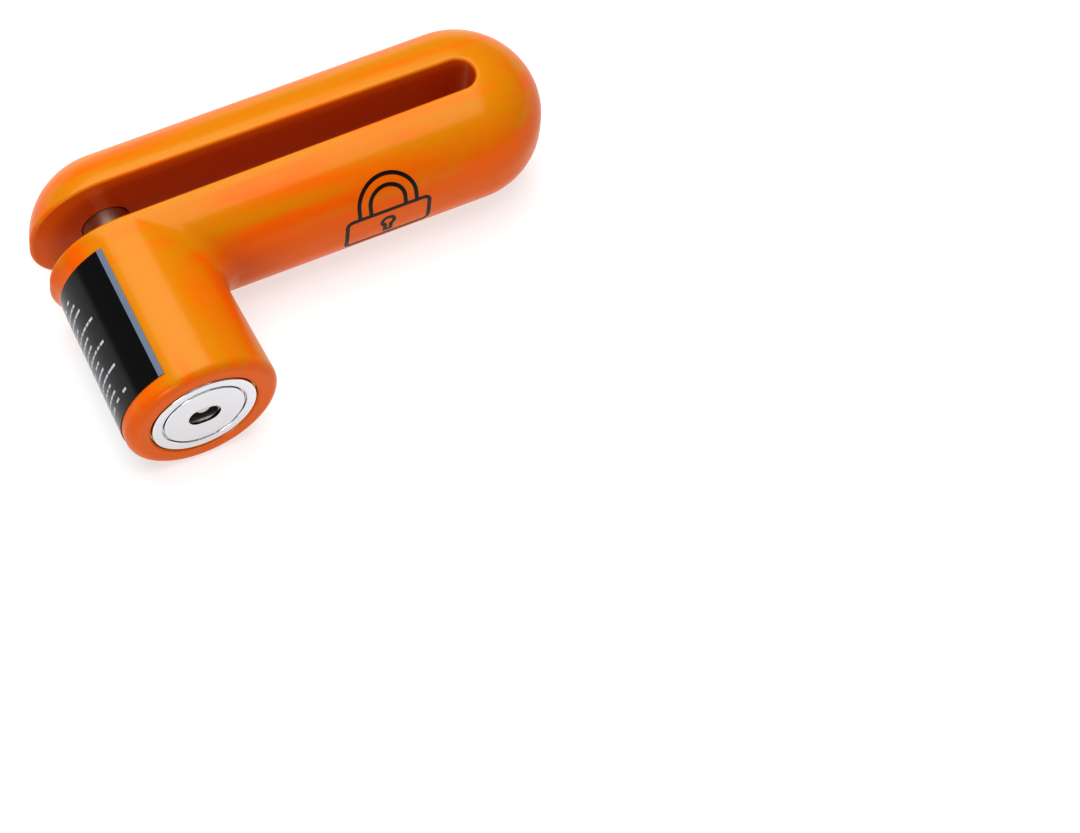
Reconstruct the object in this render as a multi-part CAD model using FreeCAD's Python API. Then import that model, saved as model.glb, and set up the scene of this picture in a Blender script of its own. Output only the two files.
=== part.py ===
import FreeCAD, Part
import math
import os

from FreeCAD import Vector

os.makedirs("parts", exist_ok=True)

# Disc brake lock, lying on its side. Millimetres, +Z up.
# The origin is where the axis of the locking pin crosses the middle plane of the rotor slot.
# +X runs along the bar to its closed end, and the cylinder stem points to -Y.
# Along the stem, a smaller y is nearer the key.

# Bar
BAR_LENGTH = 120.0
BAR_WIDTH = 38.4
BAR_HEIGHT = 33.2
BAR_EDGE = 15.4
BAR_OPEN_X = -18.4

# Rotor slot through the bar, a little wider at its mouth so that the casting's core draws out
SLOT_WIDTH_AT_PIN = 9.4
SLOT_DRAFT = 0.54
SLOT_TIP_X = 86.0
SLOT_EDGE = 0.8

# Cylinder stem, a cone with a slight draft
STEM_FACE_Y = -48.5
STEM_ROOT_RADIUS = 16.4
STEM_FACE_RADIUS = 17.7
STEM_FACE_EDGE = 2.3
JUNCTION_RADIUS = 5.5

# Travel of the lock cylinder, and the clearance of every piece that runs in a bore
CYLINDER_TRAVEL = 13.0
RUNNING_GAP = 0.06

# Locking pin
PIN_RADIUS = 5.4
PIN_TIP_Y = 7.95
PIN_TIP_CHAMFER = 0.8
PIN_SHOULDER_Y = STEM_FACE_Y + 37.0
SPIGOT_RADIUS = 4.0
SPIGOT_LENGTH = 8.0
DOWEL_RADIUS = 1.2
DOWEL_LENGTH = 13.4
DOWEL_Y = PIN_SHOULDER_Y - 4.0

# Bores of the casting
BORE_BOTTOM_Y = STEM_FACE_Y + 38.0
BORE_MOUTH_CHAMFER = 0.4
FAR_HOLE_RADIUS = 5.6
FAR_HOLE_END_Y = 8.6
SEAL_Y = STEM_FACE_Y + 3.5
SEAL_WIRE_RADIUS = 0.6
SEAL_GROOVE_WIDTH = 1.6
NOTCH_OUTER_X = 14.6

# Cylinder housing
HOUSING_RADIUS = 12.5
HOUSING_FRONT_Y = STEM_FACE_Y + 1.1
HOUSING_BACK_Y = PIN_SHOULDER_Y
SHOULDER_SEAT_Y = STEM_FACE_Y + 2.3
CORE_BORE_END_Y = STEM_FACE_Y + 19.4
WEB_HOLE_RADIUS = 3.2
GROOVE_HALF_WIDTH = 2.1
GROOVE_BOTTOM_Z = -10.3

# Chrome bezel pressed into the front of the housing
BEZEL_RADIUS = 12.2
BEZEL_INNER_RADIUS = 9.8
BEZEL_EDGE = 0.35
SKIRT_OUTER_RADIUS = 11.6
SKIRT_INNER_RADIUS = 10.5
SKIRT_END_Y = STEM_FACE_Y + 3.5

# Core: face plate, barrel, discs and tail cam
FACE_RADIUS = 9.4
FACE_EDGE = 0.3
SHOULDER_RADIUS = 10.4
SHOULDER_FRONT_Y = STEM_FACE_Y + 1.2
BARREL_RADIUS = 8.3
BARREL_FRONT_Y = STEM_FACE_Y + 2.2
BARREL_BACK_Y = STEM_FACE_Y + 17.6
BARREL_WALL = 1.4
KEY_WINDOW = (7.5, 5.8)
KEY_SLOT = (7.0, 3.4)
KEY_SLOT_Z = -0.7
KEY_RIB_RADIUS = 1.5
KEY_RIB_Z = 1.5
PLATE_BACK_Y = STEM_FACE_Y + 0.8
GUARD_THICKNESS = 1.8
DISC_COUNT = 8
DISC_THICKNESS = 1.25
SPACER_THICKNESS = 0.45
DISC_GAP = 0.05
CAM_RADIUS = 8.2
CAM_THICKNESS = 1.6
CAM_TAB_LENGTH = 1.6
CAM_TAB_HALF_WIDTH = 1.5
CRANK_RADIUS = 1.3
CRANK_LENGTH = 5.6

# Latch bolt, thrown by the crank as the key turns a quarter turn
LATCH_THROW = 2.4
LATCH_Y = STEM_FACE_Y + 23.5
LATCH_THICKNESS = 5.2
LATCH_HALF_WIDTH = 3.5
LATCH_TIP_X = 11.9
LATCH_TAIL_X = -5.2
LATCH_EDGE = 0.4
CHANNEL_GAP = 0.1
NOTCH_GAP = 0.2
YOKE_GAP = 0.1
YOKE_FLOOR_Z = -0.4

# Sidebar in the core, and the housing grooves that it drops into
SIDEBAR_HALF_WIDTH = 0.9
SIDEBAR_INNER_Z = 6.1
SIDEBAR_OUTER_Z = 8.25
SIDEBAR_EDGE = 0.4
SIDEBAR_FRONT_Y = STEM_FACE_Y + 3.2
SIDEBAR_BACK_Y = STEM_FACE_Y + 15.0
SIDEBAR_GROOVE_RADIUS = 9.6

# Return spring in the tail of the housing, and the washer that it pushes on
SPRING_WIRE_RADIUS = 0.6
SPRING_MEAN_RADIUS = 7.9
SPRING_TURNS = 5.5
SPRING_POCKET_DEPTH = 9.0
SPRING_POCKET_RADII = (6.9, 8.9)
WASHER_THICKNESS = 0.8
WASHER_RADII = (5.7, 9.2)

# Retaining pin, which stops the cylinder at both ends of its travel
RETAINER_RADIUS = 2.0
RETAINER_Y = STEM_FACE_Y + 19.0
RETAINER_TIP_Z = -10.6
RETAINER_HEAD_Z = -16.5
RETAINER_GAP = 0.1

# Label wrapped on the stem's far side: ends along the stem, and angles from +Z towards -X
LABEL_Y = (-44.3, -9.8)
LABEL_ANGLES = (25.5, 154.5)
LABEL_THICKNESS = 0.15

# Cuts run past the faces that they open by this much
OVERCUT = 1.0

ALONG_X = Vector(1, 0, 0)
ALONG_Y = Vector(0, 1, 0)
ALONG_Z = Vector(0, 0, 1)

crank_offset = LATCH_THROW / 2
barrel_bore = BARREL_RADIUS - BARREL_WALL
disc_radius = barrel_bore - DISC_GAP
disc_front_y = PLATE_BACK_Y + GUARD_THICKNESS
disc_pitch = DISC_THICKNESS + SPACER_THICKNESS
stack_end_y = disc_front_y + DISC_COUNT * disc_pitch - SPACER_THICKNESS
bore_radius = HOUSING_RADIUS + RUNNING_GAP
spring_front_y = HOUSING_BACK_Y - SPRING_POCKET_DEPTH
slot_draft = math.radians(SLOT_DRAFT)
slot_end_x = (SLOT_TIP_X - SLOT_WIDTH_AT_PIN / 2 * math.cos(slot_draft)) / (1 - math.sin(slot_draft))
slot_end_radius = SLOT_TIP_X - slot_end_x


def rod(radius, y_from, y_to, x=0.0, z=0.0):
    """A round bar along Y."""
    return Part.makeCylinder(radius, y_to - y_from, Vector(x, y_from, z), ALONG_Y)


def ring(outer, inner, y_from, y_to):
    """A tube along Y."""
    return rod(outer, y_from, y_to).cut(rod(inner, y_from, y_to))


def block(x_range, y_range, z_range):
    """A box between two values on each axis."""
    size = [high - low for low, high in (x_range, y_range, z_range)]
    return Part.makeBox(*size, Vector(x_range[0], y_range[0], z_range[0]))


def stadium(x_range, half_width, y_or_z_range, axis):
    """A prism whose outline is a bar along X with round ends, extruded along axis."""
    low, high = x_range[0] + half_width, x_range[1] - half_width
    across = axis.cross(ALONG_X)
    base = axis * y_or_z_range[0]
    right, left = base + ALONG_X * high, base + ALONG_X * low
    side = across * half_width
    outline = [
        Part.LineSegment(left - side, right - side),
        Part.Arc(right - side, right + ALONG_X * half_width, right + side),
        Part.LineSegment(right + side, left + side),
        Part.Arc(left + side, left - ALONG_X * half_width, left - side),
    ]
    face = Part.Face(Part.Wire([curve.toShape() for curve in outline]))
    return face.extrude(axis * (y_or_z_range[1] - y_or_z_range[0]))


def edges_where(shape, test):
    """The edges whose centre passes a test."""
    return [edge for edge in shape.Edges if test(edge.CenterOfMass)]


def stem_radius(y):
    """The outside radius of the stem at a place along it."""
    return STEM_ROOT_RADIUS + (STEM_FACE_RADIUS - STEM_ROOT_RADIUS) * y / STEM_FACE_Y


def bar_blank():
    """The bar before the slot, rounded almost to a half circle along both long sides."""
    half_height = BAR_HEIGHT / 2
    x_range = (BAR_OPEN_X, BAR_OPEN_X + BAR_LENGTH)
    blank = stadium(x_range, BAR_WIDTH / 2, (-half_height, half_height), ALONG_Z)
    rims = edges_where(blank, lambda centre: abs(abs(centre.z) - half_height) < 1e-6)
    return blank.makeFillet(BAR_EDGE, rims)


def solid_blank():
    """Bar and stem as one casting, blended where they meet."""
    stem = Part.makeCone(
        STEM_ROOT_RADIUS, STEM_FACE_RADIUS, -STEM_FACE_Y, Vector(0, 0, 0), -ALONG_Y
    )
    blank = bar_blank().fuse(stem).removeSplitter()
    cone = [face for face in blank.Faces if isinstance(face.Surface, Part.Cone)][0]
    lines = [edge for edge in cone.Edges if not isinstance(edge.Curve, Part.Line)]
    junction = [edge for edge in lines if edge.CenterOfMass.y > STEM_FACE_Y + 1]
    blank = blank.makeFillet(JUNCTION_RADIUS, junction)
    rim = edges_where(blank, lambda centre: centre.y < STEM_FACE_Y + 1e-6)
    return blank.makeFillet(STEM_FACE_EDGE, rim)


def slot_half_width(x):
    """Half the slot's width at a place along the bar, before its round end."""
    return SLOT_WIDTH_AT_PIN / 2 - x * math.tan(slot_draft)


def rotor_slot():
    """The slot, open at the bar's -X end and round at its closed end."""
    reach = BAR_HEIGHT / 2 + OVERCUT
    mouth_x = BAR_OPEN_X - OVERCUT
    tangent_x = slot_end_x + slot_end_radius * math.sin(slot_draft)
    floor = Vector(0, 0, -reach)
    corners = [
        floor + Vector(x, side * slot_half_width(x), 0)
        for x, side in ((mouth_x, -1), (tangent_x, -1), (tangent_x, 1), (mouth_x, 1))
    ]
    outline = [
        Part.LineSegment(corners[0], corners[1]),
        Part.Arc(corners[1], floor + Vector(SLOT_TIP_X, 0, 0), corners[2]),
        Part.LineSegment(corners[2], corners[3]),
        Part.LineSegment(corners[3], corners[0]),
    ]
    face = Part.Face(Part.Wire([curve.toShape() for curve in outline]))
    return face.extrude(ALONG_Z * 2 * reach)


def latch_notch(slide):
    """A pocket in the bore wall for the latch bolt, at one end of the cylinder's travel."""
    half_length = LATCH_THICKNESS / 2 + NOTCH_GAP
    half_width = LATCH_HALF_WIDTH + NOTCH_GAP
    y = LATCH_Y - slide
    return block(
        (0, NOTCH_OUTER_X), (y - half_length, y + half_length), (-half_width, half_width)
    )


def casting_bores():
    """Everything bored into the stem and the jaws for the cylinder and its pin."""
    mouth_radius = bore_radius + BORE_MOUTH_CHAMFER
    mouth = Part.makeCone(
        mouth_radius, bore_radius, BORE_MOUTH_CHAMFER, Vector(0, STEM_FACE_Y, 0), ALONG_Y
    )
    seal_radius = bore_radius + 2 * SEAL_WIRE_RADIUS
    half_groove = SEAL_GROOVE_WIDTH / 2
    return [
        rod(bore_radius, STEM_FACE_Y - OVERCUT, BORE_BOTTOM_Y),
        mouth,
        rod(seal_radius, SEAL_Y - half_groove, SEAL_Y + half_groove),
        rod(PIN_RADIUS + RUNNING_GAP, BORE_BOTTOM_Y - OVERCUT, 0),
        rod(FAR_HOLE_RADIUS, 0, FAR_HOLE_END_Y),
        latch_notch(0),
        latch_notch(CYLINDER_TRAVEL),
        Part.makeCylinder(
            RETAINER_RADIUS, STEM_FACE_RADIUS, Vector(0, RETAINER_Y, 0), -ALONG_Z
        ),
    ]


def lock_casting():
    """The one-piece body: slotted bar and bored stem."""
    body = solid_blank().cut(rotor_slot())
    body = body.makeFillet(SLOT_EDGE, slot_mouth_edges(body))
    for bore in casting_bores():
        body = body.cut(bore)
    return body


def on_slot_wall(point):
    """Whether a point lies on one of the slot's walls or on its round end."""
    if point.x < slot_end_x:
        return abs(abs(point.y) - slot_half_width(point.x)) < 1e-3
    return abs(math.hypot(point.x - slot_end_x, point.y) - slot_end_radius) < 1e-3


def slot_mouth_edges(body):
    """The edges where the slot's walls come out of the bar's rounded surface."""
    edges = []
    for edge in body.Edges:
        through = edge.BoundBox.ZMin < -1 and edge.BoundBox.ZMax > 1
        straight_through = through and isinstance(edge.Curve, Part.Line)
        if not straight_through and all(on_slot_wall(point) for point in edge.discretize(5)):
            edges.append(edge)
    return edges


def stem_label():
    """A thin wrap on the stem."""
    low, high = LABEL_Y
    corners = [
        Vector(0, low, stem_radius(low)),
        Vector(0, high, stem_radius(high)),
        Vector(0, high, stem_radius(high) + LABEL_THICKNESS),
        Vector(0, low, stem_radius(low) + LABEL_THICKNESS),
    ]
    section = Part.Face(Part.makePolygon(corners + corners[:1]))
    first, last = LABEL_ANGLES
    section.rotate(Vector(0, 0, 0), -ALONG_Y, first)
    return section.revolve(Vector(0, 0, 0), -ALONG_Y, last - first)


def retaining_pin():
    """A pin driven up through the stem's underside into the housing's groove."""
    length = RETAINER_TIP_Z - RETAINER_HEAD_Z
    return Part.makeCylinder(RETAINER_RADIUS, length, Vector(0, RETAINER_Y, RETAINER_HEAD_Z), ALONG_Z)


def bore_seal():
    """A rubber ring in the bore's groove, just clear of the housing."""
    mean_radius = bore_radius + SEAL_WIRE_RADIUS
    return Part.makeTorus(mean_radius, SEAL_WIRE_RADIUS, Vector(0, SEAL_Y, 0), ALONG_Y)


def thrust_washer():
    """The spring's seat at the bottom of the bore."""
    inner, outer = WASHER_RADII
    return ring(outer, inner, BORE_BOTTOM_Y - WASHER_THICKNESS, BORE_BOTTOM_Y)


def return_spring():
    """A round wire wound into a helix between the housing's pocket and the washer."""
    first = spring_front_y + SPRING_WIRE_RADIUS
    last = BORE_BOTTOM_Y - WASHER_THICKNESS - SPRING_WIRE_RADIUS
    height = last - first
    helix = Part.makeHelix(height / SPRING_TURNS, height, SPRING_MEAN_RADIUS)
    start = Vector(SPRING_MEAN_RADIUS, 0, 0)
    wire = Part.Wire(Part.makeCircle(SPRING_WIRE_RADIUS, start, ALONG_Y))
    spring = Part.Wire(helix.Edges).makePipeShell([wire], True, True)
    spring.rotate(Vector(0, 0, 0), ALONG_X, -90)
    spring.translate(Vector(0, first, 0))
    return spring


def sidebar_groove():
    """A groove along the core's bore that the sidebar drops into."""
    half_width = SIDEBAR_HALF_WIDTH + NOTCH_GAP
    y_range = (SIDEBAR_FRONT_Y - NOTCH_GAP, SIDEBAR_BACK_Y + NOTCH_GAP)
    return block((-half_width, half_width), y_range, (0, SIDEBAR_GROOVE_RADIUS))


def cylinder_housing():
    """The sliding lock cylinder: core bore in front, latch channel, spring pocket behind."""
    body = rod(HOUSING_RADIUS, HOUSING_FRONT_Y, HOUSING_BACK_Y)
    pocket_inner, pocket_outer = SPRING_POCKET_RADII
    half_channel = LATCH_THICKNESS / 2 + CHANNEL_GAP
    channel_half_width = LATCH_HALF_WIDTH + CHANNEL_GAP
    side_groove = sidebar_groove()
    turned_groove = sidebar_groove()
    turned_groove.rotate(Vector(0, 0, 0), ALONG_Y, 90)
    travel_groove_front = RETAINER_Y - RETAINER_RADIUS - RETAINER_GAP
    travel_groove_back = RETAINER_Y + RETAINER_RADIUS + RETAINER_GAP + CYLINDER_TRAVEL
    cuts = [
        rod(SKIRT_OUTER_RADIUS, HOUSING_FRONT_Y - OVERCUT, SHOULDER_SEAT_Y),
        ring(SKIRT_OUTER_RADIUS, SKIRT_INNER_RADIUS, SHOULDER_SEAT_Y - OVERCUT, SKIRT_END_Y),
        rod(BARREL_RADIUS + RUNNING_GAP, SHOULDER_SEAT_Y - OVERCUT, CORE_BORE_END_Y),
        rod(WEB_HOLE_RADIUS, CORE_BORE_END_Y - OVERCUT, LATCH_Y),
        block(
            (LATCH_TAIL_X - OVERCUT, HOUSING_RADIUS + OVERCUT),
            (LATCH_Y - half_channel, LATCH_Y + half_channel),
            (-channel_half_width, channel_half_width),
        ),
        ring(pocket_outer, pocket_inner, spring_front_y, HOUSING_BACK_Y + OVERCUT),
        rod(SPIGOT_RADIUS, PIN_SHOULDER_Y - SPIGOT_LENGTH, HOUSING_BACK_Y + OVERCUT),
        Part.makeCylinder(
            DOWEL_RADIUS,
            DOWEL_LENGTH / 2 + HOUSING_RADIUS + OVERCUT,
            Vector(-DOWEL_LENGTH / 2, DOWEL_Y, 0),
            ALONG_X,
        ),
        block(
            (-GROOVE_HALF_WIDTH, GROOVE_HALF_WIDTH),
            (travel_groove_front, travel_groove_back),
            (-HOUSING_RADIUS - OVERCUT, GROOVE_BOTTOM_Z),
        ),
        side_groove,
        turned_groove,
    ]
    for cut in cuts:
        body = body.cut(cut)
    return body


def bezel_ring():
    """The chrome ring that holds the core in the housing."""
    lip = ring(BEZEL_RADIUS, BEZEL_INNER_RADIUS, STEM_FACE_Y, HOUSING_FRONT_Y)
    rims = edges_where(lip, lambda centre: centre.y < STEM_FACE_Y + 1e-6)
    lip = lip.makeFillet(BEZEL_EDGE, rims)
    skirt = ring(SKIRT_OUTER_RADIUS, SKIRT_INNER_RADIUS, HOUSING_FRONT_Y, SKIRT_END_Y)
    return lip.fuse(skirt).removeSplitter()


def locking_pin():
    """The pin that crosses the rotor slot, with a spigot that sits in the housing."""
    shank = rod(PIN_RADIUS, PIN_SHOULDER_Y, PIN_TIP_Y)
    tip = edges_where(shank, lambda centre: centre.y > PIN_TIP_Y - 1e-6)
    shank = shank.makeChamfer(PIN_TIP_CHAMFER, tip)
    spigot = rod(SPIGOT_RADIUS, PIN_SHOULDER_Y - SPIGOT_LENGTH, PIN_SHOULDER_Y)
    return shank.fuse(spigot).removeSplitter().cut(pin_dowel())


def pin_dowel():
    """The cross dowel that ties the locking pin to the housing."""
    start = Vector(-DOWEL_LENGTH / 2, DOWEL_Y, 0)
    return Part.makeCylinder(DOWEL_RADIUS, DOWEL_LENGTH, start, ALONG_X)


def key_slot(y_range):
    """The slot for the key's blade: flat, round at its ends, with one rib along its upper side."""
    length, height = KEY_SLOT
    slot = stadium((-length / 2, length / 2), height / 2, y_range, ALONG_Y)
    slot.translate(ALONG_Z * KEY_SLOT_Z)
    rib = rod(KEY_RIB_RADIUS, y_range[0] - OVERCUT, y_range[1] + OVERCUT, z=KEY_RIB_Z)
    return slot.cut(rib)


def core_barrel():
    """Face plate with the key window, retaining shoulder and the tube that holds the discs."""
    plate = rod(FACE_RADIUS, STEM_FACE_Y, SHOULDER_FRONT_Y)
    rim = edges_where(plate, lambda centre: centre.y < STEM_FACE_Y + 1e-6)
    body = plate.makeFillet(FACE_EDGE, rim)
    body = body.fuse(rod(SHOULDER_RADIUS, SHOULDER_FRONT_Y, BARREL_FRONT_Y))
    body = body.fuse(rod(BARREL_RADIUS, BARREL_FRONT_Y, BARREL_BACK_Y)).removeSplitter()
    window_length, window_height = KEY_WINDOW
    window = stadium(
        (-window_length / 2, window_length / 2),
        window_height / 2,
        (STEM_FACE_Y - OVERCUT, PLATE_BACK_Y + OVERCUT),
        ALONG_Y,
    )
    slot_half_width = SIDEBAR_HALF_WIDTH + RUNNING_GAP
    sidebar_slot = block(
        (-slot_half_width, slot_half_width),
        (SIDEBAR_FRONT_Y - RUNNING_GAP, SIDEBAR_BACK_Y + RUNNING_GAP),
        (0, BARREL_RADIUS + OVERCUT),
    )
    bore = rod(barrel_bore, PLATE_BACK_Y, BARREL_BACK_Y + OVERCUT)
    for cut in [window, bore, sidebar_slot] + cam_tabs():
        body = body.cut(cut)
    return body


def cam_tabs():
    """The two tabs by which the tail cam turns with the barrel."""
    wall = ring(CAM_RADIUS, barrel_bore, BARREL_BACK_Y - CAM_TAB_LENGTH, BARREL_BACK_Y)
    half_width = CAM_TAB_HALF_WIDTH
    bounds = [(-CAM_RADIUS, 0), (0, CAM_RADIUS)]
    y_range = (BARREL_BACK_Y - CAM_TAB_LENGTH, BARREL_BACK_Y)
    return [wall.common(block(x_range, y_range, (-half_width, half_width))) for x_range in bounds]


def drill_guard():
    """The hardened plate behind the key window."""
    y_range = (PLATE_BACK_Y, disc_front_y)
    return rod(disc_radius, *y_range).cut(key_slot(y_range))


def pierced_disc(y_from, thickness):
    """A thin disc with the key slot and a gate for the sidebar in its rim."""
    y_range = (y_from, y_from + thickness)
    gate_half_width = SIDEBAR_HALF_WIDTH + NOTCH_GAP
    gate = block(
        (-gate_half_width, gate_half_width), y_range, (SIDEBAR_INNER_Z - NOTCH_GAP, BARREL_RADIUS)
    )
    return rod(disc_radius, *y_range).cut(key_slot(y_range)).cut(gate)


def tail_cam():
    """The plate that closes the barrel, with the crank pin that throws the latch."""
    back_y = BARREL_BACK_Y + CAM_THICKNESS
    crank = rod(CRANK_RADIUS, back_y, back_y + CRANK_LENGTH, x=-crank_offset, z=crank_offset)
    body = rod(CAM_RADIUS, BARREL_BACK_Y, back_y)
    body = body.fuse(rod(disc_radius, stack_end_y, BARREL_BACK_Y)).fuse(crank)
    for tab in cam_tabs():
        body = body.fuse(tab)
    return body.removeSplitter()


def latch_bolt():
    """The bolt that the crank throws to +X, with a yoke slot open at the top."""
    half_thickness = LATCH_THICKNESS / 2
    body = block(
        (LATCH_TAIL_X, LATCH_TIP_X),
        (LATCH_Y - half_thickness, LATCH_Y + half_thickness),
        (-LATCH_HALF_WIDTH, LATCH_HALF_WIDTH),
    )
    tip = edges_where(body, lambda centre: centre.x > LATCH_TIP_X - 1e-6)
    body = body.makeChamfer(LATCH_EDGE, tip)
    yoke_half_width = CRANK_RADIUS + YOKE_GAP
    yoke = block(
        (-crank_offset - yoke_half_width, -crank_offset + yoke_half_width),
        (LATCH_Y - LATCH_THICKNESS, LATCH_Y + LATCH_THICKNESS),
        (YOKE_FLOOR_Z, LATCH_HALF_WIDTH + OVERCUT),
    )
    return body.cut(yoke)


def sidebar():
    """The bar that blocks the core until every gate lines up under it."""
    body = block(
        (-SIDEBAR_HALF_WIDTH, SIDEBAR_HALF_WIDTH),
        (SIDEBAR_FRONT_Y, SIDEBAR_BACK_Y),
        (SIDEBAR_INNER_Z, SIDEBAR_OUTER_Z),
    )
    crest = [
        edge
        for edge in body.Edges
        if edge.BoundBox.ZMin > SIDEBAR_OUTER_Z - 1e-6 and edge.BoundBox.XLength < 1e-6
    ]
    return body.makeChamfer(SIDEBAR_EDGE, crest)


def lock_parts():
    """Every sub-part by its name."""
    parts = {
        "lock_casting": lock_casting(),
        "stem_label": stem_label(),
        "retaining_pin": retaining_pin(),
        "bore_seal": bore_seal(),
        "thrust_washer": thrust_washer(),
        "return_spring": return_spring(),
        "cylinder_housing": cylinder_housing(),
        "bezel_ring": bezel_ring(),
        "locking_pin": locking_pin(),
        "pin_dowel": pin_dowel(),
        "core_barrel": core_barrel(),
        "drill_guard": drill_guard(),
        "tail_cam": tail_cam(),
        "latch_bolt": latch_bolt(),
        "sidebar": sidebar(),
    }
    for index in range(DISC_COUNT):
        y = disc_front_y + index * disc_pitch
        parts[f"lock_disc_{index + 1}"] = pierced_disc(y, DISC_THICKNESS)
        if index < DISC_COUNT - 1:
            spacer = pierced_disc(y + DISC_THICKNESS, SPACER_THICKNESS)
            parts[f"disc_spacer_{index + 1}"] = spacer
    return parts


for name, shape in lock_parts().items():
    print(f"{name:18s} valid {shape.isValid()}  solids {len(shape.Solids)}  mm3 {shape.Volume:.1f}")
    shape.exportStep(f"parts/{name}.step")
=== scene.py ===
"""The finished look of a disc brake lock, built around its fixed frame."""

import math

import bmesh
import bpy
from bpy.props import FloatProperty, FloatVectorProperty, IntProperty, PointerProperty
from mathutils import Matrix, Vector


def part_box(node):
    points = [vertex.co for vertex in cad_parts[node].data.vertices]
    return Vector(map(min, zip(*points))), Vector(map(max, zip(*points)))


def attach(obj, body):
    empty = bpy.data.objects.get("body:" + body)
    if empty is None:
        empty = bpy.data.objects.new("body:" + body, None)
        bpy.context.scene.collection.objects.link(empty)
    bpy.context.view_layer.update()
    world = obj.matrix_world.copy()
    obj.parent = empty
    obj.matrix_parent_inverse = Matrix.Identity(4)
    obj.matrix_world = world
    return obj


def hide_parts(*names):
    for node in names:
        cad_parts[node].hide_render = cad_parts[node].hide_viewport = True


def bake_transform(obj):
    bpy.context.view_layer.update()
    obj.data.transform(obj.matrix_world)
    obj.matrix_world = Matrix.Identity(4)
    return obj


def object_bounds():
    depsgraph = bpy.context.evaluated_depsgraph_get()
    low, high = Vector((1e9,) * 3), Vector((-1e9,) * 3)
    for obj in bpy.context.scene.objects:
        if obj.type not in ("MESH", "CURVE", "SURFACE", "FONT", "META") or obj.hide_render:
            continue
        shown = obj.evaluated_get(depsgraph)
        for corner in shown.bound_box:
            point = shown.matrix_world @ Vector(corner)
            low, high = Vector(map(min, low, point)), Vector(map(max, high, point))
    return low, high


bl_info = {
    "name": "Disc Brake Lock",
    "version": (1, 0, 0),
    "blender": (4, 5, 0),
    "location": "View3D > Sidebar > Disc Lock",
    "description": "Paint, plating, label, printed mark and return spring of a disc brake lock",
    "category": "Add Mesh",
}

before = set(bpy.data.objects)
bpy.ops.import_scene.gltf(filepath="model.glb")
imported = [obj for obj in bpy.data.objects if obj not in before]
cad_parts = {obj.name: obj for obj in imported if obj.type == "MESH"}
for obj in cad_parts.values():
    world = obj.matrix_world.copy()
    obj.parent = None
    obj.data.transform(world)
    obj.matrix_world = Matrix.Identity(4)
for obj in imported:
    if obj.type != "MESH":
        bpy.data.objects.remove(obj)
frame_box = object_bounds()

MM = 0.001
WHITE = (1.0, 1.0, 1.0, 1.0)

# The bar's rounded section, and the slot's narrowing for each metre along the bar
BAR_EDGE = 15.4 * MM
BAR_HALF_HEIGHT = 16.6 * MM
SLOT_TAPER = 0.0094
SLOT_FADE = 0.15 * MM

# Painted streaks of reflection along the bar and stem, and painted shade on the flanks: how far the
# streaks are drawn out, how much they count beside the slope of the surface, the sums where the
# painted flank shade turns to the lit colour of the upper faces, and where the stem's streaks give
# way to the bar's
DRAWN_OUT = 0.12
REFLECTION_STREAK_WEIGHT = 1.7
SHADE_TO_LIT = (1.15, 1.95)
STEM_TO_BAR = (-28.0 * MM, -12.0 * MM)

# How deep the underside of a wrapped or printed layer lies in the paint, so that no gap shows
LABEL_SUNK = 0.02 * MM
INK_SUNK = 0.03 * MM
INK_HEIGHT = 0.06 * MM
LONGEST_LINE_STEP = 0.5 * MM
LEAST_MITRE = 0.5

# The label's print: bars come in blocks of rows, and only a block's first row starts at the edge.
# Shifts and indents are in bars.
ROWS_IN_BLOCK = 3
ROW_INDENT = (1.2, 2.6)
BAR_SHIFT = 0.06
BAR_SHARE = (0.6, 0.96)
BAR_CHANCE = 0.86
PRINT_START = math.radians(32.0)
PRINT_MARGIN = 3.5 * MM
PRINT_END_MARGIN = 1.5 * MM

SPRING_POINTS = 300
WIRE_SIDES = 14

# Share of the usual reflection: little from the paint under its clear skin, some from the film
PAINT_SPECULAR = 0.05
FILM_SPECULAR = 0.36

# Stage, in metres: floor, and places and sizes of the softboxes
FLOOR_HALF_WIDTH = 3.0
OVERHEAD_PLACE = (0.0, 0.6, 1.1)
OVERHEAD_SIZE = (1.1, 2.13)
FRONT_PLACE = (-0.6, -1.2, 0.35)
FRONT_SIZE = (0.5, 0.35)
SENSOR_WIDTH = 36.0

CHROMED = ("core_barrel", "bezel_ring")
HARDENED = ("locking_pin", "pin_dowel", "retaining_pin", "thrust_washer")
MECHANISM = ("tail_cam", "latch_bolt", "sidebar")


def linear(hex_colour):
    """An sRGB hex colour as linear red, green and blue."""
    channels = [int(hex_colour[i:i + 2], 16) / 255 for i in (1, 3, 5)]
    return tuple(c / 12.92 if c <= 0.04045 else ((c + 0.055) / 1.055) ** 2.4 for c in channels)


def colour_property(name, description, hex_colour):
    """A colour that the user may change."""
    return FloatVectorProperty(
        name=name,
        description=description,
        subtype="COLOR",
        size=3,
        min=0.0,
        max=1.0,
        default=linear(hex_colour),
    )


def length_property(name, description, millimetres):
    """A length that the user may change, kept in metres."""
    return FloatProperty(
        name=name,
        description=description,
        subtype="DISTANCE",
        unit="LENGTH",
        precision=5,
        default=millimetres * MM,
    )


def angle_property(name, description, degrees):
    """An angle that the user may change, kept in radians."""
    return FloatProperty(
        name=name,
        description=description,
        subtype="ANGLE",
        unit="ROTATION",
        default=math.radians(degrees),
    )


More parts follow.
